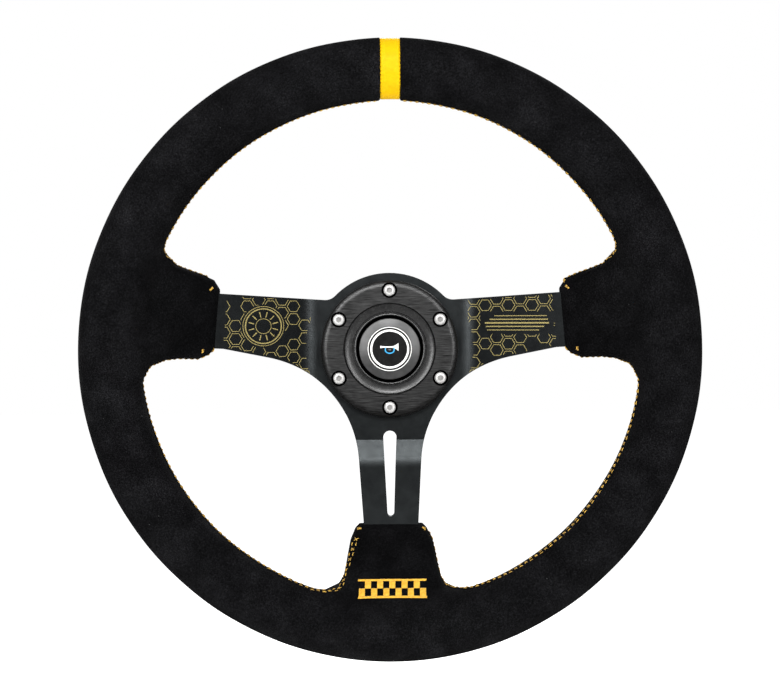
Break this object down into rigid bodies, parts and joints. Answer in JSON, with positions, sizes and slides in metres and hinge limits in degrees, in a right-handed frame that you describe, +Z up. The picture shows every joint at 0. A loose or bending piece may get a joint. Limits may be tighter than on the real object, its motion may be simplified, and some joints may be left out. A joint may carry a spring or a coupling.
{
  "type": "quick release steering wheel",
  "caption": "Round deep-dish three-spoke competition steering wheel with a suede rim, a centre horn button and a ball-lock quick-release hub behind the boss.",
  "frame": {"origin": "centre of the mouth of the quick-release socket, on the wheel's axis", "axes": "+Y out of the socket towards the steering column, -Y towards the driver, +Z up to the centre mark, +X to the driver's right"},
  "size_m": [0.35, 0.121, 0.3499],
  "materials": {
    "hoop_steel": "black-coated tube steel",
    "plate_black": "satin black anodised aluminium",
    "rivet_steel": "plain steel",
    "foam": "moulded polyurethane",
    "suede": "black suede, napped",
    "band_yellow": "smooth yellow leather",
    "ring_black": "brushed black anodised aluminium",
    "screw_steel": "bright plated steel",
    "bezel_plastic": "moulded black plastic, semi-gloss",
    "base_plastic": "moulded black plastic",
    "cap_plastic": "moulded black plastic",
    "emblem": "black badge with white print under clear dome",
    "spring_steel": "spring wire",
    "contact_brass": "plain brass",
    "hub_aluminium": "turned, clear anodised",
    "collar_black": "black anodised, knurled lip",
    "ring_steel": "black oxide spring steel",
    "ball_steel": "polished bearing steel",
    "insulator": "natural acetal",
    "lead_red": "insulated copper lead"
  },
  "bodies": {
    "root": {"rim_hoop": "hoop_steel", "spoke_plate": "plate_black", "spoke_rivets": "rivet_steel", "rim_foam": "foam", "right_pad_foam": "foam", "left_pad_foam": "foam", "foot_pad_foam": "foam", "suede_wrap": "suede", "centre_band": "band_yellow", "horn_ring": "ring_black", "cap_screws": "screw_steel", "horn_bezel": "bezel_plastic", "horn_base": "base_plastic", "horn_spring": "spring_steel", "fixed_contact": "contact_brass", "horn_terminal": "contact_brass", "ground_washer": "contact_brass", "qr_hub": "hub_aluminium", "qr_spring": "spring_steel", "snap_ring": "ring_steel", "contact_insulator": "insulator", "contact_spring": "spring_steel", "contact_plug": "contact_brass", "horn_lead": "lead_red"},
    "horn_cap": {"horn_cap": "cap_plastic", "horn_emblem": "emblem", "moving_contact": "contact_brass"},
    "qr_collar": {"qr_collar": "collar_black"},
    "contact_pin": {"contact_pin": "contact_brass"},
    "lock_ball_1": {"lock_ball_1": "ball_steel"},
    "lock_ball_2": {"lock_ball_2": "ball_steel"},
    "lock_ball_3": {"lock_ball_3": "ball_steel"},
    "lock_ball_4": {"lock_ball_4": "ball_steel"},
    "lock_ball_5": {"lock_ball_5": "ball_steel"},
    "lock_ball_6": {"lock_ball_6": "ball_steel"}
  },
  "joints": [
    {"name": "horn_press", "type": "slide", "parent": "root", "child": "horn_cap", "axis": [0, 1, 0], "range_m": [0, 0.002], "stiffness_N_per_m": 2500, "springref_m": -0.002, "deforming": ["horn_spring"]},
    {"name": "collar_pull", "type": "slide", "parent": "root", "child": "qr_collar", "axis": [0, -1, 0], "range_m": [0, 0.006], "stiffness_N_per_m": 2000, "springref_m": -0.006, "deforming": ["qr_spring"]},
    {"name": "contact_press", "type": "slide", "parent": "root", "child": "contact_pin", "axis": [0, -1, 0], "range_m": [0, 0.0015], "stiffness_N_per_m": 600, "springref_m": -0.001, "deforming": ["contact_spring"]},
    {"name": "lock_ball_1_out", "type": "slide", "parent": "root", "child": "lock_ball_1", "axis": [1, 0, 0], "range_m": [0, 0.0015]},
    {"name": "lock_ball_2_out", "type": "slide", "parent": "root", "child": "lock_ball_2", "axis": [0.5, 0, 0.866], "range_m": [0, 0.0015]},
    {"name": "lock_ball_3_out", "type": "slide", "parent": "root", "child": "lock_ball_3", "axis": [-0.5, 0, 0.866], "range_m": [0, 0.0015]},
    {"name": "lock_ball_4_out", "type": "slide", "parent": "root", "child": "lock_ball_4", "axis": [-1, 0, 0], "range_m": [0, 0.0015]},
    {"name": "lock_ball_5_out", "type": "slide", "parent": "root", "child": "lock_ball_5", "axis": [-0.5, 0, -0.866], "range_m": [0, 0.0015]},
    {"name": "lock_ball_6_out", "type": "slide", "parent": "root", "child": "lock_ball_6", "axis": [0.5, 0, -0.866], "range_m": [0, 0.0015]}
  ],
  "couplings": [
    {"joint": "lock_ball_1_out", "follows": "collar_pull", "ratio": 0.25},
    {"joint": "lock_ball_2_out", "follows": "collar_pull", "ratio": 0.25},
    {"joint": "lock_ball_3_out", "follows": "collar_pull", "ratio": 0.25},
    {"joint": "lock_ball_4_out", "follows": "collar_pull", "ratio": 0.25},
    {"joint": "lock_ball_5_out", "follows": "collar_pull", "ratio": 0.25},
    {"joint": "lock_ball_6_out", "follows": "collar_pull", "ratio": 0.25}
  ]
}
